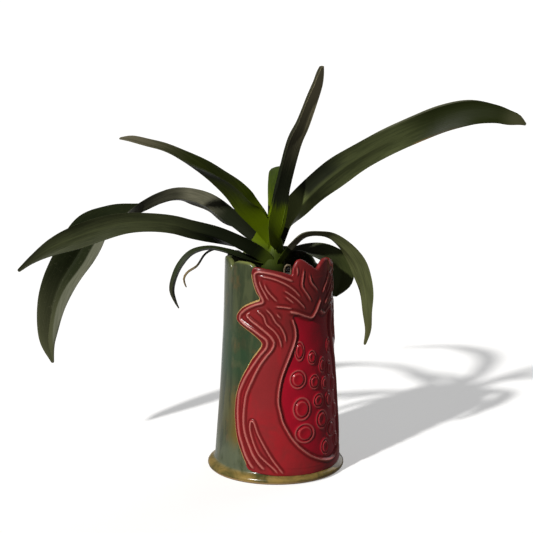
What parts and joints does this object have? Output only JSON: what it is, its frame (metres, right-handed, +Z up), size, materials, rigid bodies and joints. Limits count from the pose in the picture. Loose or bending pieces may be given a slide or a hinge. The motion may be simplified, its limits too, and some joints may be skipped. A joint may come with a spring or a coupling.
{
  "type": "strap-leaved orchid plant in pomegranate relief vase",
  "caption": "Potted orchid-like plant with arching strap leaves in a tapered glazed vase; an applied red pomegranate wraps the wall and its crown rises into the scalloped rim.",
  "frame": {"origin": "centre of the flat underside of the foot disc, on the surface the vase stands on", "axes": "+Z up; +X along the fan of leaves towards the longest leaf; -Y towards the viewer of the pictured side"},
  "size_m": [0.3672, 0.2541, 0.3024],
  "materials": {
    "green_glaze": "gloss",
    "red_glaze": "gloss",
    "bark": "matte",
    "sheath_green": "satin",
    "leaf_dark": "satin",
    "leaf_fresh": "satin",
    "leaf_grey": "satin",
    "leaf_withered": "matte"
  },
  "bodies": {
    "root": {"vase_body": "green_glaze", "pomegranate_relief": "red_glaze", "potting_bark": "bark", "stem": "sheath_green", "leaf_a": "leaf_dark", "leaf_b": "leaf_fresh", "leaf_c": "leaf_dark", "leaf_d": "leaf_dark", "leaf_e": "leaf_grey", "leaf_f": "leaf_dark", "leaf_g": "leaf_dark", "leaf_h": "leaf_withered", "leaf_i": "leaf_grey", "leaf_j": "leaf_dark"}
  },
  "joints": []
}
